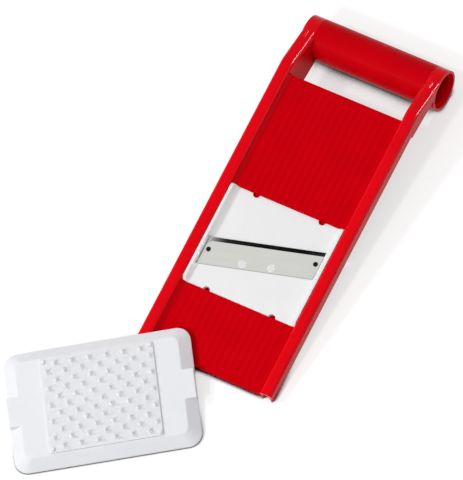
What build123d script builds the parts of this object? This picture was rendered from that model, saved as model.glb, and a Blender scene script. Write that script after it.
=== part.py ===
"""Mandoline slicer with its food holder: red frame, white insert with a skewed blade."""
import math
import os

from build123d import *

os.makedirs("parts", exist_ok=True)

# Slicer body. Deck sizes are u across, v along from the lower end, n above the runway.
BODY_WIDTH = 121.8
LOWER_LENGTH = 58.8
WINDOW_LENGTH = 86.4
UPPER_LENGTH = 98.2
RAIL_WIDTH = 10.3
RAIL_TOP = 6.0
RAIL_BOTTOM = -5.0
RAIL_WALL = 2.4
RAIL_SHOULDER = 2.6
RAIL_INNER_ROUND = 3.0
BEND_BEYOND = 8.1
BEND_RADIUS = 16.0
ARM_ANGLE = math.radians(18.4)

# Handle tube, its collars and its keys
HAND_HOLE = 23.5
TUBE_RADIUS = 16.7
COLLAR_WALL = 2.0
SPIGOT_WALL = 2.2
SPIGOT_LENGTH = 7.5
KEY_LENGTH = 6.4
KEY_WIDTH = 1.8
KEY_PROUD = 0.5
KEY_ROUND = 0.45
KEY_BACK = 10.4
KEY_SKIN = 1.0

# Cheeks and skirts beside the hand hole
CHEEK_LEAN = math.radians(6.6)
CHEEK_DEPTH = 28.8
CHEEK_BEYOND = 0.6
SKIRT_BEFORE = 7.4
SKIRT_DEPTH = 10.2
SKIRT_RECESS = 1.0

# Runways
RUNWAY_THICK = 2.6
RUNWAY_WALL_LIP = 0.15
RUNWAY_WALL_FOOT = 2.6
RUNWAY_WALL_BOTTOM = 2.0
RUNWAY_UNDER = 1.4
RUNWAY_COVE = 3.0
RIB_PITCH = 5.85
RIB_COUNT = 15
RIB_RADIUS = 5.0
RIB_HEIGHT = 0.4
RIB_FADE = 7.0
END_SKIRT = 2.4
END_ROUND = 1.5
LIP_DEPTH = 6.0
LEDGE_REACH = 4.0
LEDGE_ROOT = 6.0
LEDGE_THICK = 2.0
LEDGE_INSET = 1.0

# Insert tray
TRAY_FLOOR = 3.4
TRAY_WALL_FOOT = 5.2
TRAY_WALL_TOP = 4.4
TRAY_WALL_WIDTH = 2.1
TRAY_WALL_CUT = 3.0
TRAY_HIGH_CUT = 1.5
TRAY_UNDER = 1.9
TRAY_COVE = 5.0
TABLE_ROOT = 2.0
SLICE_DROP = 1.5
NOTCH_U = 29.3
NOTCH_RADIUS = 3.15

# Blade and its fixings; the blade sits a little left of the middle
BLADE_SHIFT = -1.05
BLADE_SKEW = math.radians(14.6)
BLADE_UP = 49.1
BLADE_CHORD = 20.0
BLADE_END_GAP = 5.0
BLADE_THICK = 0.9
BLADE_PROUD = 0.1
BLADE_CORNER = 3.0
BEVEL_LENGTH = 2.6
BEVEL_DEPTH = 0.6
THROAT_GAP = 4.1
THROAT_UNDER = 3.5
THROAT_LAND = 0.4
THROAT_RELIEF = 3.0
BLADE_SLIT = 1.0
RIVET_INSET = 3.45
RIVET_BACK = 7.15
RIVET_SHANK = 1.5
RIVET_HEAD = 2.0
RIVET_HEAD_RISE = 0.4
RIVET_HEAD_TAPER = 20
RIVET_TAIL_RISE = 0.6
WASHER_RADIUS = 3.2
WASHER_THICK = 0.7
STUD_SPREAD = 11.4
STUD_BACK = 15.65
STUD_SHANK = 1.6
STUD_HEAD = 3.2
STUD_HEAD_RISE = 0.4
STUD_HEAD_TAPER = 60

# Food holder: how far its near left corner lies out from the slicer, and how far up the rail it leans
HOLDER_LENGTH = 147.2
HOLDER_WIDTH = 97.8
HOLDER_CORNER = 11.0
HOLDER_TOP_CORNER = 5.5
HOLDER_RIM = 1.7
HOLDER_RISE = 6.9
HOLDER_SLOPE = 9.3
HOLDER_WALL = 2.0
HOLDER_TONGUE = 24.0
HOLDER_OUT = 31.1
HOLDER_UP = 6.0
HOLDER_TURN = math.radians(34.6)

# Spike plate
PLATE_LENGTH = 89.4
PLATE_WIDTH = 77.0
PLATE_THICK = 1.2
PLATE_CORNER = 1.5
SPIKE_PITCH = 13.5
SPIKE_ROWS = 5
SPIKE_COLUMNS = 7
SPIKE_SHIFT = 0.8
SPIKE_BASE = 2.8
SPIKE_HEIGHT = 5.6
SPIKE_TIP = 0.5
POST_INSET = 2.6
POST_RADIUS = 1.6
POST_HEIGHT = 1.6
PEG_RADIUS = 2.0
PEG_SPREAD_LONG = 60.0
PEG_SPREAD_SHORT = 50.0

# Clearances, and the length by which a cut runs past what it cuts
SEAM = 0.05
SEAT = 0.2
FIT = 0.3
REST_GAP = 0.35
OVERCUT = 1.0

# Sizes that follow from the ones above
SIDES = (("left", -1), ("right", 1))
half = BODY_WIDTH / 2
rail_in = half - RAIL_WIDTH
rail_mid = half - RAIL_WIDTH / 2
window_low = LOWER_LENGTH
window_high = window_low + WINDOW_LENGTH
runway_high = window_high + UPPER_LENGTH
bend_v = runway_high + BEND_BEYOND
cheek_start = runway_high + CHEEK_BEYOND
skirt_start = runway_high - SKIRT_BEFORE
tube_v = runway_high + HAND_HOLE + TUBE_RADIUS
tube_n = RAIL_TOP - (TUBE_RADIUS + (tube_v - bend_v) * math.sin(ARM_ANGLE)) / math.cos(ARM_ANGLE)
touch_v = tube_v + TUBE_RADIUS * math.sin(ARM_ANGLE)
touch_n = tube_n + TUBE_RADIUS * math.cos(ARM_ANGLE)
collar_bore = TUBE_RADIUS - COLLAR_WALL
spigot_radius = collar_bore - FIT
tube_bore = spigot_radius - SPIGOT_WALL
key_v = touch_v - KEY_BACK * math.cos(ARM_ANGLE)
key_depth = TUBE_RADIUS - math.sqrt((tube_bore + KEY_SKIN) ** 2 - (KEY_BACK - KEY_LENGTH / 2) ** 2)
drop = RAIL_BOTTOM - tube_n
stance = math.atan2(drop, tube_v) + math.asin(TUBE_RADIUS / math.hypot(tube_v, drop))
lean = math.tan(stance)
runway_half = rail_in - SEAM
runway_floor = rail_in - RUNWAY_WALL_FOOT
runway_wall_top = RAIL_TOP - RAIL_INNER_ROUND
tray_half = rail_in - FIT
tray_floor = rail_in - TRAY_WALL_FOOT
tray_low = window_low + FIT
tray_high = window_high - FIT
blade_half = rail_in - BLADE_END_GAP
seat_n = BLADE_PROUD - BLADE_THICK - SEAM
rivet_u = blade_half - RIVET_INSET
blade_edge_mid = window_low + BLADE_UP

# Holder stance: near edge on the table, far edge across the left rail's inner crest
crossing_z = (RAIL_TOP - RAIL_BOTTOM) / math.cos(stance) + HOLDER_UP * lean
tip = math.asin((crossing_z + REST_GAP) / HOLDER_WIDTH)
reach = HOLDER_WIDTH * math.cos(tip)
holder_x = -half - HOLDER_OUT
along = (reach * math.sin(HOLDER_TURN) - rail_in - RAIL_INNER_ROUND - holder_x) / math.cos(HOLDER_TURN)
holder_y = HOLDER_UP - reach * math.cos(HOLDER_TURN) - along * math.sin(HOLDER_TURN)
holder_x_dir = (math.cos(HOLDER_TURN), math.sin(HOLDER_TURN), 0)
holder_y_dir = (
    -math.sin(HOLDER_TURN) * math.cos(tip),
    math.cos(HOLDER_TURN) * math.cos(tip),
    math.sin(tip),
)
holder_z_dir = (
    math.sin(HOLDER_TURN) * math.sin(tip),
    -math.cos(HOLDER_TURN) * math.sin(tip),
    math.cos(tip),
)

# The origin is the middle of the set's footprint on the table
corner_y = HOLDER_WIDTH - HOLDER_CORNER
least_x = holder_x + HOLDER_CORNER * holder_x_dir[0] + corner_y * holder_y_dir[0]
least_x -= HOLDER_CORNER * math.hypot(holder_x_dir[0], holder_y_dir[0])
least_y = holder_y + HOLDER_CORNER * (holder_x_dir[1] + holder_y_dir[1])
least_y -= HOLDER_CORNER * math.hypot(holder_x_dir[1], holder_y_dir[1])
least_y += HOLDER_RIM * holder_z_dir[1]
tube_y = tube_v * math.cos(stance) - (tube_n - RAIL_BOTTOM) * math.sin(stance)
shift_x = -(half + least_x) / 2
shift_y = -(tube_y + TUBE_RADIUS + least_y) / 2


def deck_point(u, v, n):
    """Row position of a point given on the tilted deck."""
    rise = n - RAIL_BOTTOM
    y = shift_y + v * math.cos(stance) - rise * math.sin(stance)
    z = v * math.sin(stance) + rise * math.cos(stance)
    return (shift_x + u, y, z)


def flat_plane(n):
    """Plane parallel to the deck, sketched in u and v."""
    return Plane(deck_point(0, 0, n), x_dir=(1, 0, 0), z_dir=(0, -math.sin(stance), math.cos(stance)))


def side_plane(u):
    """Upright plane along the slicer, sketched in v and n, facing right."""
    return Plane(deck_point(u, 0, 0), x_dir=(0, math.cos(stance), math.sin(stance)), z_dir=(1, 0, 0))


def cross_plane(v):
    """Plane across the slicer, sketched in u and n, facing the lower end."""
    return Plane(deck_point(0, v, 0), x_dir=(1, 0, 0), z_dir=(0, -math.cos(stance), -math.sin(stance)))


def arm_plane(u, v, rise):
    """Plane on the sloping arm, sketched across and along it."""
    turn = stance - ARM_ANGLE
    n = RAIL_TOP - (v - bend_v) * math.tan(ARM_ANGLE)
    foot = deck_point(u, v, n)
    up = (0, -math.sin(turn), math.cos(turn))
    return Plane((foot[0], foot[1] + rise * up[1], foot[2] + rise * up[2]), x_dir=(1, 0, 0), z_dir=up)


def holder_plane(z):
    """Plane parallel to the holder's rim, sketched from its middle."""
    mid_x = HOLDER_LENGTH / 2
    mid_y = HOLDER_WIDTH / 2
    base = (holder_x + shift_x, holder_y + shift_y, 0)
    spot = [
        base[i] + mid_x * holder_x_dir[i] + mid_y * holder_y_dir[i] + z * holder_z_dir[i]
        for i in range(3)
    ]
    return Plane(tuple(spot), x_dir=holder_x_dir, z_dir=holder_z_dir)


def edge_v(u):
    """Where the cutting edge lies along the deck at a given u."""
    return blade_edge_mid + u * math.tan(BLADE_SKEW)


def skew_band(low_u, high_u, ahead, behind):
    """Corners of a band along the cutting edge, from ahead of it to behind it."""
    return [
        (low_u, edge_v(low_u) + ahead),
        (high_u, edge_v(high_u) + ahead),
        (high_u, edge_v(high_u) - behind),
        (low_u, edge_v(low_u) - behind),
    ]


def fixing_spot(u, back):
    """Place of a rivet or stud: u from the blade's middle and back from its edge."""
    return (BLADE_SHIFT + u, edge_v(BLADE_SHIFT + u) - back)


def trough(outer, lip, top, floor, level, wall_foot, thick, under):
    """Cross-section of a runway or tray: a floor at a level between two leaning walls."""
    right = [
        (floor, level),
        (outer - lip, top),
        (outer, top),
        (outer, wall_foot),
        (floor + under, -thick),
    ]
    left = [(-u, n) for u, n in reversed(right)]
    return right + left


def foot_corners(section, floor, level):
    """The two corners of a cross-section where its walls stand on its floor."""
    corners = section.vertices()
    return [corners.sort_by_distance((side * floor, level, 0))[0] for side in (-1, 1)]


def ledge(edge, reach):
    """Side view of the shelf that carries the tray's end; reach is signed, away from the runway."""
    root = edge - math.copysign(LEDGE_ROOT, reach)
    shelf = -TRAY_FLOOR - SEAT
    return [
        (root, -RUNWAY_THICK / 2),
        (edge, -RUNWAY_THICK / 2),
        (edge, shelf),
        (edge + reach, shelf),
        (edge + reach, shelf - LEDGE_THICK),
        (root, shelf - LEDGE_THICK),
    ]


def skirt_n(v):
    """Bottom of the outer skirt, level with the table."""
    return -SKIRT_DEPTH - (v - skirt_start) * lean


def cheek_n(v):
    """Bottom of the cheek, level with the table."""
    return RAIL_TOP - CHEEK_DEPTH - (v - cheek_start) * lean


# Cheek: the leaning wall beside the hand hole
cheek_foot = rail_in - (RAIL_TOP - cheek_n(tube_v)) * math.tan(CHEEK_LEAN)
cheek_band = rail_in + RAIL_WALL - cheek_foot
with BuildPart() as cheek:
    with BuildSketch(cross_plane(tube_v)):
        with BuildLine():
            Polyline(
                (rail_in, RAIL_TOP),
                (cheek_foot, cheek_n(tube_v)),
                (cheek_foot + RAIL_WALL, cheek_n(tube_v)),
                (rail_in + RAIL_WALL, RAIL_TOP),
                close=True,
            )
        make_face()
    extrude(amount=tube_v - cheek_start)
    with BuildSketch(side_plane(cheek_foot)):
        with BuildLine():
            Polyline(
                (cheek_start, RAIL_TOP - RAIL_INNER_ROUND),
                (bend_v, RAIL_TOP - RAIL_INNER_ROUND),
                (touch_v, touch_n - RAIL_INNER_ROUND),
                (tube_v, tube_n),
                (tube_v, cheek_n(tube_v)),
                (cheek_start, cheek_n(cheek_start)),
                close=True,
            )
        make_face()
    extrude(amount=cheek_band, mode=Mode.INTERSECT)
    with BuildSketch(side_plane(cheek_foot)):
        with Locations((tube_v, tube_n)):
            Circle(TUBE_RADIUS + FIT)
    extrude(amount=cheek_band, mode=Mode.SUBTRACT)

# Right rail: hollow channel bent down into the arm, with collar, skirt and cheek
with BuildPart() as right_rail:
    with BuildLine(side_plane(rail_mid)) as spine:
        FilletPolyline((0, RAIL_TOP), (bend_v, RAIL_TOP), (touch_v, touch_n), radius=BEND_RADIUS)
    with BuildSketch(cross_plane(0)) as channel:
        with BuildLine():
            Polyline(
                (half, RAIL_BOTTOM),
                (half, RAIL_TOP),
                (rail_in, RAIL_TOP),
                (rail_in, RAIL_BOTTOM),
                (rail_in + RAIL_WALL, RAIL_BOTTOM),
                (rail_in + RAIL_WALL, RAIL_TOP - RAIL_WALL),
                (half - RAIL_WALL, RAIL_TOP - RAIL_WALL),
                (half - RAIL_WALL, RAIL_BOTTOM),
                close=True,
            )
        make_face()
        fillet(channel.vertices().group_by(Axis.Y)[-1].sort_by(Axis.X)[0], radius=RAIL_INNER_ROUND)
        fillet(channel.vertices().group_by(Axis.Y)[-1].sort_by(Axis.X)[-1], radius=RAIL_SHOULDER)
    sweep(path=spine.wires()[0])
    with BuildSketch(side_plane(half - SKIRT_RECESS - RAIL_WALL)):
        with BuildLine():
            Polyline(
                (skirt_start, RAIL_TOP - RAIL_WALL),
                (bend_v, RAIL_TOP - RAIL_WALL),
                (tube_v, tube_n + TUBE_RADIUS - RAIL_WALL),
                (tube_v, skirt_n(tube_v)),
                (skirt_start, skirt_n(skirt_start)),
                close=True,
            )
        make_face()
    extrude(amount=RAIL_WALL)
    add(cheek.part)
    with BuildSketch(side_plane(rail_in)):
        with Locations((tube_v, tube_n)):
            Circle(TUBE_RADIUS)
    extrude(amount=RAIL_WIDTH)
    with BuildSketch(side_plane(rail_in - OVERCUT)):
        with Locations((tube_v, tube_n)):
            Circle(collar_bore)
    extrude(amount=RAIL_WIDTH + 2 * OVERCUT, mode=Mode.SUBTRACT)
    with BuildSketch(arm_plane(rail_mid, key_v, OVERCUT)):
        Rectangle(KEY_WIDTH + FIT, KEY_LENGTH + FIT)
    extrude(amount=-OVERCUT - TUBE_RADIUS / 2, mode=Mode.SUBTRACT)
right_rail.part.label = "right_rail"
export_step(right_rail.part, "parts/right_rail.step")

# Left rail: the right one mirrored
with BuildPart() as left_rail:
    mirror(right_rail.part, about=Plane.YZ.offset(shift_x))
left_rail.part.label = "left_rail"
export_step(left_rail.part, "parts/left_rail.step")

# Upper runway: ribbed tray from the window up to the hand hole
runway_section = trough(
    runway_half,
    RUNWAY_WALL_LIP,
    runway_wall_top,
    runway_floor,
    0,
    RUNWAY_WALL_BOTTOM,
    RUNWAY_THICK,
    RUNWAY_UNDER,
)
with BuildPart() as upper_runway:
    with BuildSketch(cross_plane(runway_high)) as section:
        with BuildLine():
            Polyline(*runway_section, close=True)
        make_face()
        fillet(foot_corners(section, runway_floor, 0), radius=RUNWAY_COVE)
    extrude(amount=runway_high - window_high)
    with BuildSketch(cross_plane(runway_high - RIB_FADE)):
        with Locations((0, RIB_HEIGHT - RIB_RADIUS)):
            with GridLocations(RIB_PITCH, 0, RIB_COUNT, 1):
                Circle(RIB_RADIUS)
        with Locations((0, -RUNWAY_THICK / 2)):
            Rectangle(BODY_WIDTH, 2 * RIB_RADIUS, align=(Align.CENTER, Align.MAX), mode=Mode.SUBTRACT)
    extrude(amount=runway_high - RIB_FADE - window_high)
    with BuildSketch(side_plane(-runway_floor)):
        with Locations((runway_high - END_SKIRT / 2, -LIP_DEPTH / 2)):
            Rectangle(END_SKIRT, LIP_DEPTH)
    extrude(amount=2 * runway_floor)
    top_edge = upper_runway.edges().sort_by_distance(deck_point(0, runway_high, 0))[0]
    fillet(top_edge, radius=END_ROUND)
    with BuildSketch(side_plane(LEDGE_INSET - runway_floor)):
        with BuildLine():
            Polyline(*ledge(window_high, -LEDGE_REACH), close=True)
        make_face()
    extrude(amount=2 * (runway_floor - LEDGE_INSET))
upper_runway.part.label = "upper_runway"
export_step(upper_runway.part, "parts/upper_runway.step")

# Lower runway: the same tray from the lower end up to the window
with BuildPart() as lower_runway:
    with BuildSketch(cross_plane(window_low)) as section:
        with BuildLine():
            Polyline(*runway_section, close=True)
        make_face()
        fillet(foot_corners(section, runway_floor, 0), radius=RUNWAY_COVE)
    extrude(amount=window_low)
    with BuildSketch(cross_plane(window_low)):
        with Locations((0, RIB_HEIGHT - RIB_RADIUS)):
            with GridLocations(RIB_PITCH, 0, RIB_COUNT, 1):
                Circle(RIB_RADIUS)
        with Locations((0, -RUNWAY_THICK / 2)):
            Rectangle(BODY_WIDTH, 2 * RIB_RADIUS, align=(Align.CENTER, Align.MAX), mode=Mode.SUBTRACT)
    extrude(amount=window_low - RIB_FADE)
    with BuildSketch(side_plane(-runway_floor)):
        with Locations((END_SKIRT / 2, (RAIL_BOTTOM + SEAT) / 2)):
            Rectangle(END_SKIRT, -RAIL_BOTTOM - SEAT)
    extrude(amount=2 * runway_floor)
    with BuildSketch(side_plane(LEDGE_INSET - runway_floor)):
        with BuildLine():
            Polyline(*ledge(window_low, LEDGE_REACH), close=True)
        make_face()
    extrude(amount=2 * (runway_floor - LEDGE_INSET))
lower_runway.part.label = "lower_runway"
export_step(lower_runway.part, "parts/lower_runway.step")

# Handle tube: grip between the collars, a spigot at each end, bored right through
grip_half = rail_in - SEAM
spigot_half = grip_half + SPIGOT_LENGTH
with BuildPart() as handle_tube:
    with BuildSketch(side_plane(-grip_half)):
        with Locations((tube_v, tube_n)):
            Circle(TUBE_RADIUS)
    extrude(amount=2 * grip_half)
    with BuildSketch(side_plane(-spigot_half)):
        with Locations((tube_v, tube_n)):
            Circle(spigot_radius)
    extrude(amount=2 * spigot_half)
    with BuildSketch(side_plane(-half)):
        with Locations((tube_v, tube_n)):
            Circle(tube_bore)
    extrude(amount=BODY_WIDTH, mode=Mode.SUBTRACT)
    for side, sign in SIDES:
        with BuildSketch(arm_plane(sign * rail_mid, key_v, OVERCUT)):
            Rectangle(KEY_WIDTH + FIT, KEY_LENGTH + FIT)
        extrude(amount=-OVERCUT - key_depth - FIT, mode=Mode.SUBTRACT)
handle_tube.part.label = "handle_tube"
export_step(handle_tube.part, "parts/handle_tube.step")

# Tube keys: short bars pressed through the arm into the tube's spigot
for side, sign in SIDES:
    with BuildPart() as tube_key:
        with BuildSketch(arm_plane(sign * rail_mid, key_v, KEY_PROUD)):
            RectangleRounded(KEY_WIDTH, KEY_LENGTH, KEY_WIDTH / 3)
        extrude(amount=-key_depth - KEY_PROUD)
        fillet(tube_key.faces().sort_by(Axis.Z)[-1].edges(), radius=KEY_ROUND)
    tube_key.part.label = f"tube_key_{side}"
    export_step(tube_key.part, f"parts/tube_key_{side}.step")

# Insert tray: channel with a lowered lead-in, a skewed throat and a seat for the blade
tray_section = trough(
    tray_half,
    TRAY_WALL_WIDTH,
    TRAY_WALL_TOP,
    tray_floor,
    -SLICE_DROP,
    RUNWAY_WALL_BOTTOM,
    TRAY_FLOOR,
    TRAY_UNDER,
)
table_half = tray_floor + TABLE_ROOT
blade_low = BLADE_SHIFT - blade_half
blade_high = BLADE_SHIFT + blade_half
pocket_low = blade_low - BLADE_SLIT
pocket_high = blade_high + FIT
fixings = [fixing_spot(sign * rivet_u, RIVET_BACK) for side, sign in SIDES]
studs = [fixing_spot(sign * STUD_SPREAD, STUD_BACK) for side, sign in SIDES]
with BuildPart() as insert_tray:
    with BuildSketch(cross_plane(tray_high)) as section:
        with BuildLine():
            Polyline(*tray_section, close=True)
        make_face()
        fillet(foot_corners(section, tray_floor, -SLICE_DROP), radius=TRAY_COVE)
    extrude(amount=tray_high - tray_low)
    with BuildSketch(flat_plane(0)):
        with BuildLine():
            Polyline(
                (-table_half, edge_v(-table_half) + THROAT_GAP),
                (table_half, edge_v(table_half) + THROAT_GAP),
                (table_half, tray_low),
                (-table_half, tray_low),
                close=True,
            )
        make_face()
    extrude(amount=-(TRAY_FLOOR + SLICE_DROP) / 2)
    with BuildSketch(flat_plane(seat_n)):
        with BuildLine():
            Polyline(*skew_band(pocket_low, pocket_high, 0, BLADE_CHORD + FIT), close=True)
        make_face()
    extrude(amount=TRAY_WALL_TOP - seat_n + OVERCUT, mode=Mode.SUBTRACT)
    with BuildSketch(flat_plane(-TRAY_FLOOR - OVERCUT)):
        with BuildLine():
            Polyline(*skew_band(pocket_low, pocket_high, THROAT_GAP, THROAT_UNDER), close=True)
        make_face()
        with BuildLine():
            Polyline(*skew_band(pocket_low, blade_low, THROAT_GAP, BLADE_CHORD), close=True)
        make_face()
    extrude(amount=OVERCUT + TRAY_FLOOR + TRAY_WALL_TOP + OVERCUT, mode=Mode.SUBTRACT)
    with BuildSketch(flat_plane(-TRAY_FLOOR)):
        with BuildLine():
            Polyline(*skew_band(pocket_low, pocket_high, THROAT_GAP + THROAT_RELIEF, 0), close=True)
        make_face()
    with BuildSketch(flat_plane(-SLICE_DROP - THROAT_LAND)):
        with BuildLine():
            Polyline(*skew_band(pocket_low, pocket_high, THROAT_GAP, 0), close=True)
        make_face()
    loft(mode=Mode.SUBTRACT)
    with BuildSketch(flat_plane(-TRAY_FLOOR - OVERCUT)):
        with Locations((-NOTCH_U, window_low), (NOTCH_U, window_low)):
            Circle(NOTCH_RADIUS)
        with Locations((-NOTCH_U, window_high), (NOTCH_U, window_high)):
            Circle(NOTCH_RADIUS)
        with Locations(*fixings):
            Circle(RIVET_SHANK + FIT)
        with Locations(*studs):
            Circle(STUD_SHANK + FIT)
    extrude(amount=OVERCUT + TRAY_FLOOR + OVERCUT, mode=Mode.SUBTRACT)
    with BuildSketch(side_plane(-half)):
        with BuildLine():
            Polyline(
                (tray_low, TRAY_WALL_TOP - TRAY_WALL_CUT),
                (tray_low + TRAY_WALL_CUT, TRAY_WALL_TOP),
                (tray_low, TRAY_WALL_TOP),
                close=True,
            )
        make_face()
        with BuildLine():
            Polyline(
                (tray_high, TRAY_WALL_TOP - TRAY_HIGH_CUT),
                (tray_high - TRAY_HIGH_CUT, TRAY_WALL_TOP),
                (tray_high, TRAY_WALL_TOP),
                close=True,
            )
        make_face()
    extrude(amount=BODY_WIDTH, mode=Mode.SUBTRACT)
insert_tray.part.label = "insert_tray"
export_step(insert_tray.part, "parts/insert_tray.step")

# Blade: skewed strip, sharpened from below along its upper edge
bevel_plane = Plane(
    deck_point(0, blade_edge_mid, BLADE_PROUD),
    x_dir=(
        -math.sin(BLADE_SKEW),
        math.cos(BLADE_SKEW) * math.cos(stance),
        math.cos(BLADE_SKEW) * math.sin(stance),
    ),
    z_dir=(
        math.cos(BLADE_SKEW),
        math.sin(BLADE_SKEW) * math.cos(stance),
        math.sin(BLADE_SKEW) * math.sin(stance),
    ),
)
with BuildPart() as blade:
    with BuildSketch(flat_plane(BLADE_PROUD)):
        with BuildLine():
            Polyline(
                (blade_low, edge_v(blade_low) - BLADE_CORNER),
                (blade_low + BLADE_CORNER, edge_v(blade_low + BLADE_CORNER)),
                (blade_high, edge_v(blade_high)),
                (blade_high, edge_v(blade_high) - BLADE_CHORD),
                (blade_low, edge_v(blade_low) - BLADE_CHORD),
                close=True,
            )
        make_face()
        with Locations(*fixings):
            Circle(RIVET_SHANK + FIT, mode=Mode.SUBTRACT)
        with Locations(*studs):
            Circle(STUD_SHANK + FIT, mode=Mode.SUBTRACT)
    extrude(amount=-BLADE_THICK)
    with BuildSketch(bevel_plane):
        with BuildLine():
            Polyline(
                (OVERCUT, BEVEL_DEPTH - BLADE_THICK),
                (0, BEVEL_DEPTH - BLADE_THICK),
                (-BEVEL_LENGTH, -BLADE_THICK),
                (-BEVEL_LENGTH, -BLADE_THICK - OVERCUT),
                (OVERCUT, -BLADE_THICK - OVERCUT),
                close=True,
            )
        make_face()
    extrude(amount=BODY_WIDTH, both=True, mode=Mode.SUBTRACT)
blade.part.label = "blade"
export_step(blade.part, "parts/blade.step")

# Blade rivets with their washers: flat head above, shank through blade and tray, clenched tail below
washer_n = -TRAY_FLOOR - SEAM
tail_n = washer_n - WASHER_THICK - SEAM
for (side, sign), spot in zip(SIDES, fixings):
    with BuildPart() as blade_rivet:
        with BuildSketch(flat_plane(BLADE_PROUD + SEAM)):
            with Locations(spot):
                Circle(RIVET_HEAD)
        extrude(amount=RIVET_HEAD_RISE, taper=RIVET_HEAD_TAPER)
        with BuildSketch(flat_plane(BLADE_PROUD + SEAM)):
            with Locations(spot):
                Circle(RIVET_SHANK)
        extrude(amount=tail_n - BLADE_PROUD - SEAM)
        with BuildSketch(flat_plane(tail_n)):
            with Locations(spot):
                Circle(RIVET_HEAD)
        extrude(amount=-RIVET_TAIL_RISE)
    blade_rivet.part.label = f"blade_rivet_{side}"
    export_step(blade_rivet.part, f"parts/blade_rivet_{side}.step")

    with BuildPart() as rivet_washer:
        with BuildSketch(flat_plane(washer_n)):
            with Locations(spot):
                Circle(WASHER_RADIUS)
                Circle(RIVET_SHANK + FIT, mode=Mode.SUBTRACT)
        extrude(amount=-WASHER_THICK)
    rivet_washer.part.label = f"rivet_washer_{side}"
    export_step(rivet_washer.part, f"parts/rivet_washer_{side}.step")

# Blade studs: white buttons that hold the blade's middle down
for (side, sign), spot in zip(SIDES, studs):
    with BuildPart() as blade_stud:
        with BuildSketch(flat_plane(BLADE_PROUD + SEAM)):
            with Locations(spot):
                Circle(STUD_HEAD)
        extrude(amount=STUD_HEAD_RISE, taper=STUD_HEAD_TAPER)
        with BuildSketch(flat_plane(BLADE_PROUD + SEAM)):
            with Locations(spot):
                Circle(STUD_SHANK)
        extrude(amount=-TRAY_FLOOR - BLADE_PROUD)
    blade_stud.part.label = f"blade_stud_{side}"
    export_step(blade_stud.part, f"parts/blade_stud_{side}.step")

# Holder shell: plateau with sloped sides, upright rim and a tongue through each short side
top_z = HOLDER_RIM + HOLDER_RISE
top_length = HOLDER_LENGTH - 2 * HOLDER_SLOPE
top_width = HOLDER_WIDTH - 2 * HOLDER_SLOPE
inner_top = top_z - HOLDER_WALL
with BuildPart() as holder_shell:
    with BuildSketch(holder_plane(0)):
        RectangleRounded(HOLDER_LENGTH, HOLDER_WIDTH, HOLDER_CORNER)
    extrude(amount=HOLDER_RIM)
    with BuildSketch(holder_plane(HOLDER_RIM)):
        RectangleRounded(HOLDER_LENGTH, HOLDER_WIDTH, HOLDER_CORNER)
    with BuildSketch(holder_plane(top_z)):
        RectangleRounded(top_length, top_width, HOLDER_TOP_CORNER)
    loft()
    with BuildSketch(holder_plane(0)):
        Rectangle(HOLDER_LENGTH, HOLDER_TONGUE)
    extrude(amount=top_z)
    with BuildSketch(holder_plane(0)):
        RectangleRounded(
            HOLDER_LENGTH - 2 * HOLDER_WALL, HOLDER_WIDTH - 2 * HOLDER_WALL, HOLDER_CORNER - HOLDER_WALL
        )
    with BuildSketch(holder_plane(inner_top)):
        RectangleRounded(top_length - HOLDER_WALL, top_width - HOLDER_WALL, HOLDER_TOP_CORNER - HOLDER_WALL)
    loft(mode=Mode.SUBTRACT)
    with BuildSketch(holder_plane(0)):
        Rectangle(HOLDER_LENGTH - 2 * HOLDER_WALL, HOLDER_TONGUE - 2 * HOLDER_WALL)
    extrude(amount=inner_top, mode=Mode.SUBTRACT)
    with BuildSketch(holder_plane(0)):
        with GridLocations(PEG_SPREAD_LONG, PEG_SPREAD_SHORT, 2, 2):
            Circle(PEG_RADIUS + FIT)
    extrude(amount=top_z + OVERCUT, mode=Mode.SUBTRACT)
holder_shell.part.label = "holder_shell"
export_step(holder_shell.part, "parts/holder_shell.step")

# Spike plate: raised block of staggered spikes with a post at each corner and four pegs below
plate_z = top_z + SEAM
plate_top = plate_z + PLATE_THICK
spike_taper = math.degrees(math.atan((SPIKE_BASE - SPIKE_TIP) / 2 / SPIKE_HEIGHT))
post_long = PLATE_LENGTH - 2 * POST_INSET
post_short = PLATE_WIDTH - 2 * POST_INSET
with BuildPart() as spike_plate:
    with BuildSketch(holder_plane(plate_z)):
        RectangleRounded(PLATE_LENGTH, PLATE_WIDTH, PLATE_CORNER)
    extrude(amount=PLATE_THICK)
    with BuildSketch(holder_plane(plate_z)):
        with GridLocations(PEG_SPREAD_LONG, PEG_SPREAD_SHORT, 2, 2):
            Circle(PEG_RADIUS)
    extrude(amount=-HOLDER_WALL - SEAM)
    with BuildSketch(holder_plane(plate_top)):
        with GridLocations(post_long, post_short, 2, 2):
            Circle(POST_RADIUS)
    extrude(amount=POST_HEIGHT)
    with BuildSketch(holder_plane(plate_top)):
        with Locations((SPIKE_SHIFT, 0)):
            with GridLocations(SPIKE_PITCH, SPIKE_PITCH, SPIKE_COLUMNS, SPIKE_ROWS):
                Rectangle(SPIKE_BASE, SPIKE_BASE, rotation=45)
            with GridLocations(SPIKE_PITCH, SPIKE_PITCH, SPIKE_COLUMNS - 1, SPIKE_ROWS + 1):
                Rectangle(SPIKE_BASE, SPIKE_BASE, rotation=45)
    extrude(amount=SPIKE_HEIGHT, taper=spike_taper)
spike_plate.part.label = "spike_plate"
export_step(spike_plate.part, "parts/spike_plate.step")
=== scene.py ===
"""Looks of the mandoline slicer and its food holder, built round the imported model."""
import math

import bpy
from mathutils import Matrix, Vector

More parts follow.
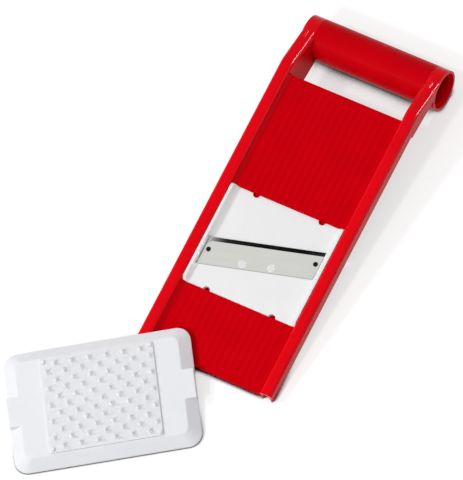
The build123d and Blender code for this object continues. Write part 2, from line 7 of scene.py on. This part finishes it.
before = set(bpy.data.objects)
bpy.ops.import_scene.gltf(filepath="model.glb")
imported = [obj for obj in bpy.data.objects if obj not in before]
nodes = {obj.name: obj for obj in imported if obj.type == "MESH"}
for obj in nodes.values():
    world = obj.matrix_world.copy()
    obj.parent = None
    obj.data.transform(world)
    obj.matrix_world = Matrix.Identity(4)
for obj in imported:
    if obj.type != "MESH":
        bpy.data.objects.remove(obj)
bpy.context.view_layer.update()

# View, fitted to the photograph's straight edges; the image is 463 by 480
IMAGE_LONG = 480
PIXELS_PER_METRE = 1293.9
CAMERA_AZIMUTH = math.radians(48.03)
CAMERA_ELEVATION = math.radians(61.69)
CAMERA_ROLL = math.radians(21.38)
CAMERA_DISTANCE = 8.0
CAMERA_REACH = 32.0
CAMERA_AIM = Vector((0.01235, 0.01784, 0.02017))
SENSOR = 36.0

# Light: soft lamps from the left and from the front, read from the spikes' two shadows, an even sky,
# and a narrow lamp low on the right that only gives edges their gleam
LAMP_ELEVATION = math.radians(47)
LEFT_LAMP = Vector((-0.90, -0.436))
LEFT_POWER = 23.0
FRONT_LAMP = Vector((-0.268, -0.963))
FRONT_POWER = 24.5
LAMP_DISTANCE = 3.0
LAMP_SIZE = 0.3
GLEAM_DIRECTION = Vector((0.79, 0.55, 0.27))
GLEAM_DISTANCE = 1.5
GLEAM_SIZE = (0.4, 0.5)
GLEAM_POWER = 90.0
SKY_STRENGTH = 0.55

# Floor: painted shade in its colour, a dark line where pieces touch it and a soft shade under them, and
# open floor lifted to white; each range runs from full shade to none, as shares of open sky within reach
FLOOR_SIZE = 6.0
FLOOR_COLOUR = (0.50, 0.50, 0.50, 1.0)
FLOOR_PAINTED_SHADE = (0.02, 0.018, 0.018, 1.0)
FLOOR_LIFT = 0.60
CONTACT_REACH = 0.005
CONTACT_RANGE = (0.5, 0.8)
CONTACT_SAMPLES = 8
SHADE_REACH = 0.1
SHADE_RANGE = (0.18, 0.32)
SHADE_SAMPLES = 32

# Colours, linear
BLACK = (0.0, 0.0, 0.0, 1.0)
PURE_WHITE = (1.0, 1.0, 1.0, 1.0)
RED = (0.78, 0.0003, 0.006, 1.0)
# Paler edge colour: partly wear, partly a painted sheen along the edges
RED_WEAR_AND_SHEEN = (0.85, 0.03, 0.035, 1.0)
RED_GLOSS = (1.0, 0.3, 0.32, 1.0)
# Painted shade: the ribbed runways' red is darkened by this share
RIBBED_PAINTED_SHADE = 0.77
# Painted shade: the tube's red is darkened by this share
TUBE_PAINTED_SHADE = 0.79
WHITE = (0.88, 0.88, 0.885, 1.0)
# Paler edge colour: partly wear, partly a painted sheen along the edges
WHITE_WEAR_AND_SHEEN = (0.91, 0.91, 0.915, 1.0)
COOL_WHITE = (0.855, 0.863, 0.893, 1.0)
# Paler edge colour: partly wear, partly a painted sheen along the edges
COOL_WEAR_AND_SHEEN = (0.89, 0.895, 0.915, 1.0)
STUD_SHARE = 0.88
STEEL = (0.625, 0.63, 0.605, 1.0)
STEEL_DARK = (0.605, 0.61, 0.585, 1.0)
# Painted shade: the rivets are near-black to stand in for the dark holes they sit in
RIVET_HOLE_SHADE = (0.006, 0.005, 0.005, 1.0)
RIVET_SHADE_WEAR_AND_SHEEN = (0.02, 0.018, 0.018, 1.0)

# Moulded plastic; scales are per metre, depths in metres, and the edge values are cosines between the
# rounded and the true normal where the paler edge, partly wear and partly painted sheen, starts and where
# it is full
NOISE_RANGE = (0.3, 0.7)
FLOW_SCALE = 38.0
FLOW_DETAIL = 3.0
SMEAR_SCALE = 60.0
SMEAR_DETAIL = 4.0
SMEAR_POLISH = 0.05
SMEAR_DULLING = 0.08
GRAIN_SCALE = 2600.0
GRAIN_STRENGTH = 0.10
GRAIN_DEPTH = 0.00008
RIPPLE_SCALE = 90.0
RIPPLE_STRENGTH = 0.06
RIPPLE_DEPTH = 0.0006
EDGE_RADIUS = 0.0006
EDGE_FLAT = 0.995
EDGE_SHARP = 0.90
EDGE_SAMPLES = 4
RED_VARY = 0.05
WHITE_VARY = 0.012
MATT_WHITE = {"roughness": 0.30, "specular": 0.01, "vary": WHITE_VARY}
WALL_GLOW = (0.5, 0.0015)
THIN_GLOW = (0.8, 0.002)

# Ground steel of the blade
BLADE_SKEW = math.radians(14.6)
LINE_SCALE = 900.0
LINE_DETAIL = 3.0
LINE_STRETCH = (25.0, 1.0, 1.0)
LINE_ROUGHNESS = (0.19, 0.25)
LINE_STRENGTH = 0.05
LINE_DEPTH = 0.00003

# Rounded edges, in metres
EDGE_ROUNDS = {"insert_tray": 0.0003, "holder_shell": 0.0008}
ROUND_SEGMENTS = 3
ROUND_ANGLE = math.radians(28)
FLAT_ANGLE = math.radians(0.3)
WELD_DISTANCE = 1e-6
NORMAL_WEIGHT = 60


def seen_rays(tree):
    """1 for rays from the camera or off a gloss, 0 for those that light other surfaces."""
    path = tree.nodes.new("ShaderNodeLightPath")
    seen = tree.nodes.new("ShaderNodeMath")
    seen.operation = "MAXIMUM"
    tree.links.new(path.outputs["Is Camera Ray"], seen.inputs[0])
    tree.links.new(path.outputs["Is Glossy Ray"], seen.inputs[1])
    return seen.outputs["Value"]


class Shader:
    """A material under construction: makes nodes and joins their sockets."""

    def __init__(self, name):
        self.material = bpy.data.materials.new(name)
        self.material.use_nodes = True
        self.tree = self.material.node_tree
        self.surface = self.tree.nodes["Principled BSDF"]

    def node(self, kind, **settings):
        made = self.tree.nodes.new(kind)
        for key, value in settings.items():
            setattr(made, key, value)
        return made

    def join(self, out, into):
        self.tree.links.new(out, into)

    def feed(self, out, name):
        """Joins a socket to the surface's input of that name."""
        self.join(out, self.surface.inputs[name])

    def set(self, name, value):
        """Sets the surface's own input of that name."""
        self.surface.inputs[name].default_value = value

    def noise(self, scale, detail=2.0, stretch=None, turn=0.0):
        """Noise over the part; stretch draws it out along each axis, turned about the upright one."""
        texture = self.node("ShaderNodeTexNoise")
        texture.inputs["Scale"].default_value = scale
        texture.inputs["Detail"].default_value = detail
        spot = self.node("ShaderNodeTexCoord").outputs["Object"]
        if stretch:
            mapping = self.node("ShaderNodeMapping", vector_type="TEXTURE")
            mapping.inputs["Scale"].default_value = stretch
            mapping.inputs["Rotation"].default_value = (0.0, 0.0, turn)
            self.join(spot, mapping.inputs["Vector"])
            spot = mapping.outputs["Vector"]
        self.join(spot, texture.inputs["Vector"])
        return texture.outputs["Fac"]

    def ramp(self, value, places, low, high):
        """Colour that runs from low to high between two places of a value."""
        made = self.node("ShaderNodeValToRGB")
        for element, place, colour in zip(made.color_ramp.elements, places, (low, high)):
            element.position = place
            element.color = colour
        self.join(value, made.inputs["Fac"])
        return made.outputs["Color"]

    def span(self, value, low, high):
        """Maps a value from 0 to 1 onto low to high."""
        made = self.node("ShaderNodeMapRange")
        made.inputs["To Min"].default_value = low
        made.inputs["To Max"].default_value = high
        self.join(value, made.inputs["Value"])
        return made.outputs["Result"]

    def product(self, first, second):
        made = self.node("ShaderNodeMath", operation="MULTIPLY")
        self.join(first, made.inputs[0])
        self.join(second, made.inputs[1])
        return made.outputs["Value"]

    def mix(self, share, first, second):
        """Blends from a socket's colour to a plain one."""
        made = self.node("ShaderNodeMix", data_type="RGBA")
        self.join(share, made.inputs[0])
        self.join(first, made.inputs[6])
        made.inputs[7].default_value = second
        return made.outputs[2]

    def bump(self, height, strength, distance, under=None):
        made = self.node("ShaderNodeBump")
        made.inputs["Strength"].default_value = strength
        made.inputs["Distance"].default_value = distance
        self.join(height, made.inputs["Height"])
        if under:
            self.join(under, made.inputs["Normal"])
        return made.outputs["Normal"]

    def openness(self, reach, samples, places):
        """White in the open, falling to black where other pieces close in."""
        made = self.node("ShaderNodeAmbientOcclusion", samples=samples)
        made.inputs["Distance"].default_value = reach
        return self.ramp(made.outputs["AO"], places, BLACK, PURE_WHITE)

    def edges(self):
        """0 on flat faces, rising to 1 on edges, from how far a rounded normal leaves the true one."""
        rounded = self.node("ShaderNodeBevel", samples=EDGE_SAMPLES)
        rounded.inputs["Radius"].default_value = EDGE_RADIUS
        likeness = self.node("ShaderNodeVectorMath", operation="DOT_PRODUCT")
        self.join(rounded.outputs["Normal"], likeness.inputs[0])
        self.join(self.node("ShaderNodeNewGeometry").outputs["Normal"], likeness.inputs[1])
        made = self.node("ShaderNodeMapRange")
        made.inputs["From Min"].default_value = EDGE_FLAT
        made.inputs["From Max"].default_value = EDGE_SHARP
        self.join(likeness.outputs["Value"], made.inputs["Value"])
        return made.outputs["Result"]


def shade(colour, share):
    """The colour made darker or lighter by a share."""
    return tuple(min(1.0, c * share) for c in colour[:3]) + (1.0,)


def moulded_plastic(name, colour, wear_and_sheen, roughness, specular, gloss=PURE_WHITE, vary=RED_VARY, glow=None):
    """Moulded plastic: faint flow marks, fine grain, handling smears, and edges paler from wear and from a
    painted sheen.

    A glow is the weight and the depth in metres of the light that comes through a white wall."""
    made = Shader(name)
    flow_noise = made.noise(FLOW_SCALE, FLOW_DETAIL)
    flow = made.ramp(flow_noise, NOISE_RANGE, shade(colour, 1 - vary), shade(colour, 1 + vary))
    # Edges blend to a paler colour: partly wear, partly a painted sheen along them
    made.feed(made.mix(made.edges(), flow, wear_and_sheen), "Base Color")
    smears = made.noise(SMEAR_SCALE, SMEAR_DETAIL)
    made.feed(made.span(smears, roughness - SMEAR_POLISH, roughness + SMEAR_DULLING), "Roughness")
    made.set("Specular IOR Level", specular)
    made.set("Specular Tint", gloss)
    if glow:
        weight, depth = glow
        made.set("Subsurface Weight", weight)
        made.set("Subsurface Radius", PURE_WHITE[:3])
        made.set("Subsurface Scale", depth)
    grain = made.bump(made.noise(GRAIN_SCALE), GRAIN_STRENGTH, GRAIN_DEPTH)
    made.feed(made.bump(made.noise(RIPPLE_SCALE), RIPPLE_STRENGTH, RIPPLE_DEPTH, grain), "Normal")
    return made.material


def ground_steel(name):
    """Strip steel with fine grinding lines along its length."""
    made = Shader(name)
    lines = made.noise(LINE_SCALE, LINE_DETAIL, LINE_STRETCH, BLADE_SKEW)
    made.feed(made.ramp(lines, NOISE_RANGE, STEEL_DARK, STEEL), "Base Color")
    made.set("Metallic", 1.0)
    made.feed(made.span(lines, *LINE_ROUGHNESS), "Roughness")
    made.feed(made.bump(lines, LINE_STRENGTH, LINE_DEPTH), "Normal")
    return made.material


def floor_material():
    """Pale matt floor with painted shade near and under the pieces, lifted to white where it lies open and
    the camera or a gloss sees it.
    """
    made = Shader("pale_floor")
    contact = made.openness(CONTACT_REACH, CONTACT_SAMPLES, CONTACT_RANGE)
    clear = made.product(contact, made.openness(SHADE_REACH, SHADE_SAMPLES, SHADE_RANGE))
    # Painted shade: the floor's colour darkens where pieces close in
    made.feed(made.ramp(clear, (0.0, 1.0), FLOOR_PAINTED_SHADE, FLOOR_COLOUR), "Base Color")
    made.set("Roughness", 1.0)
    made.set("Specular IOR Level", 0.0)
    made.set("Emission Color", PURE_WHITE)
    made.feed(made.product(seen_rays(made.tree), made.span(clear, 0.0, FLOOR_LIFT)), "Emission Strength")
    return made.material


def smooth_shading():
    """Node group that gives a solid smooth shading."""
    group = bpy.data.node_groups.new("smooth shading", "GeometryNodeTree")
    for way in ("INPUT", "OUTPUT"):
        group.interface.new_socket("Geometry", in_out=way, socket_type="NodeSocketGeometry")
    start = group.nodes.new("NodeGroupInput")
    smooth = group.nodes.new("GeometryNodeSetShadeSmooth")
    end = group.nodes.new("NodeGroupOutput")
    group.links.new(start.outputs[0], smooth.inputs[0])
    group.links.new(smooth.outputs[0], end.inputs[0])
    return group


def soften(node, width, shading):
    """Rounds a solid's sharp edges and evens its shading, without touching its own mesh."""
    piece = nodes[node]
    piece.modifiers.new("smooth shading", "NODES").node_group = shading
    weld = piece.modifiers.new("weld", "WELD")
    weld.merge_threshold = WELD_DISTANCE
    flat = piece.modifiers.new("flat faces", "DECIMATE")
    flat.decimate_type = "DISSOLVE"
    flat.angle_limit = FLAT_ANGLE
    bevel = piece.modifiers.new("round edges", "BEVEL")
    bevel.width = width
    bevel.segments = ROUND_SEGMENTS
    bevel.limit_method = "ANGLE"
    bevel.angle_limit = ROUND_ANGLE
    bevel.miter_outer = "MITER_ARC"
    normals = piece.modifiers.new("even shading", "WEIGHTED_NORMAL")
    normals.weight = NORMAL_WEIGHT


def dress(material, *names):
    """Gives the named solids one material."""
    for name in names:
        slots = nodes[name].data.materials
        slots.clear()
        slots.append(material)


def make_camera():
    sin_az, cos_az = math.sin(CAMERA_AZIMUTH), math.cos(CAMERA_AZIMUTH)
    sin_el, cos_el = math.sin(CAMERA_ELEVATION), math.cos(CAMERA_ELEVATION)
    back = Vector((sin_az * cos_el, -cos_az * cos_el, sin_el))
    level = Vector((cos_az, sin_az, 0.0))
    upright = back.cross(level)
    right = level * math.cos(CAMERA_ROLL) - upright * math.sin(CAMERA_ROLL)
    up = level * math.sin(CAMERA_ROLL) + upright * math.cos(CAMERA_ROLL)
    data = bpy.data.cameras.new("camera")
    data.sensor_width = SENSOR
    data.lens = SENSOR * PIXELS_PER_METRE * CAMERA_DISTANCE / IMAGE_LONG
    data.clip_end = CAMERA_REACH
    camera = bpy.data.objects.new("camera", data)
    turn = Matrix((right, up, back)).transposed().to_4x4()
    camera.matrix_world = Matrix.Translation(CAMERA_AIM + back * CAMERA_DISTANCE) @ turn
    bpy.context.scene.collection.objects.link(camera)
    bpy.context.scene.camera = camera


def make_lamp(name, direction, distance, power, size, shape="DISK"):
    """An area lamp in a direction from the object's middle, facing it."""
    data = bpy.data.lights.new(name, "AREA")
    data.shape = shape
    data.size, data.size_y = size
    data.energy = power
    lamp = bpy.data.objects.new(name, data)
    towards = direction.normalized()
    lamp.location = towards * distance
    lamp.rotation_euler = towards.to_track_quat("Z", "Y").to_euler()
    bpy.context.scene.collection.objects.link(lamp)
    return lamp


def make_lamps():
    for name, side, power in (("left", LEFT_LAMP, LEFT_POWER), ("front", FRONT_LAMP, FRONT_POWER)):
        level = side.normalized() * math.cos(LAMP_ELEVATION)
        direction = Vector((level.x, level.y, math.sin(LAMP_ELEVATION)))
        make_lamp(name, direction, LAMP_DISTANCE, power, (LAMP_SIZE, LAMP_SIZE))
    gleam = make_lamp("gleam", GLEAM_DIRECTION, GLEAM_DISTANCE, GLEAM_POWER, GLEAM_SIZE, "RECTANGLE")
    gleam.visible_diffuse = False


def make_sky():
    """An even sky, which is white where the camera or a gloss sees it."""
    world = bpy.data.worlds.new("sky")
    world.use_nodes = True
    tree = world.node_tree
    sky = tree.nodes["Background"]
    sky.inputs["Color"].default_value = PURE_WHITE
    strength = tree.nodes.new("ShaderNodeMapRange")
    strength.inputs["To Min"].default_value = SKY_STRENGTH
    strength.inputs["To Max"].default_value = 1.0
    tree.links.new(seen_rays(tree), strength.inputs["Value"])
    tree.links.new(strength.outputs["Result"], sky.inputs["Strength"])
    bpy.context.scene.world = world


def make_floor():
    half = FLOOR_SIZE / 2
    corners = [(-half, -half, 0), (half, -half, 0), (half, half, 0), (-half, half, 0)]
    mesh = bpy.data.meshes.new("floor")
    mesh.from_pydata(corners, [], [(0, 1, 2, 3)])
    mesh.materials.append(floor_material())
    floor = bpy.data.objects.new("floor", mesh)
    bpy.context.scene.collection.objects.link(floor)


def dress_frame():
    """Red frame: glossy rails and keys, a duller tube and matt runways; tube and runways get darker reds
    as painted shade.
    """
    rails = moulded_plastic("red_plastic", RED, RED_WEAR_AND_SHEEN, roughness=0.20, specular=0.14, gloss=RED_GLOSS)
    keys = moulded_plastic("red_plastic_key", RED, RED_WEAR_AND_SHEEN, roughness=0.20, specular=0.5, gloss=RED_GLOSS)
    # Painted shade: the tube's red is darkened to match its shaded look
    tube = moulded_plastic(
        "red_plastic_tube", shade(RED, TUBE_PAINTED_SHADE), RED, roughness=0.30, specular=0.04, gloss=RED_GLOSS
    )
    # Painted shade: the runways' red is darkened so the ribs read as shaded
    ribs = moulded_plastic(
        "red_plastic_ribbed", shade(RED, RIBBED_PAINTED_SHADE), RED, roughness=0.40, specular=0.01, gloss=RED_GLOSS
    )
    dress(rails, "left_rail", "right_rail")
    dress(keys, "tube_key_left", "tube_key_right")
    dress(tube, "handle_tube")
    dress(ribs, "upper_runway", "lower_runway")


def dress_insert():
    """White tray, steel blade with white studs, and rivets painted near-black for the shade of their
    holes.
    """
    dress(moulded_plastic("white_plastic", WHITE, WHITE_WEAR_AND_SHEEN, glow=WALL_GLOW, **MATT_WHITE), "insert_tray")
    studs = moulded_plastic("white_plastic_stud", shade(WHITE, STUD_SHARE), WHITE, **MATT_WHITE)
    dress(studs, "blade_stud_left", "blade_stud_right")
    dress(ground_steel("blade_steel"), "blade")
    # Painted shade: near-black rivets stand in for the shade of their holes
    rivets = moulded_plastic("rivet_steel", RIVET_HOLE_SHADE, RIVET_SHADE_WEAR_AND_SHEEN, roughness=0.4, specular=0.1)
    dress(rivets, "blade_rivet_left", "blade_rivet_right", "rivet_washer_left", "rivet_washer_right")


def dress_holder():
    """Cool white holder; more light comes through the thin spikes."""
    shell = moulded_plastic("white_plastic_cool", COOL_WHITE, COOL_WEAR_AND_SHEEN, glow=WALL_GLOW, **MATT_WHITE)
    spikes = moulded_plastic("white_plastic_thin", COOL_WHITE, COOL_WEAR_AND_SHEEN, glow=THIN_GLOW, **MATT_WHITE)
    dress(shell, "holder_shell")
    dress(spikes, "spike_plate")


bpy.context.scene.view_settings.view_transform = "Standard"
make_camera()
make_lamps()
make_sky()
make_floor()
dress_frame()
dress_insert()
dress_holder()
smooth = smooth_shading()
for node, width in EDGE_ROUNDS.items():
    soften(node, width, smooth)
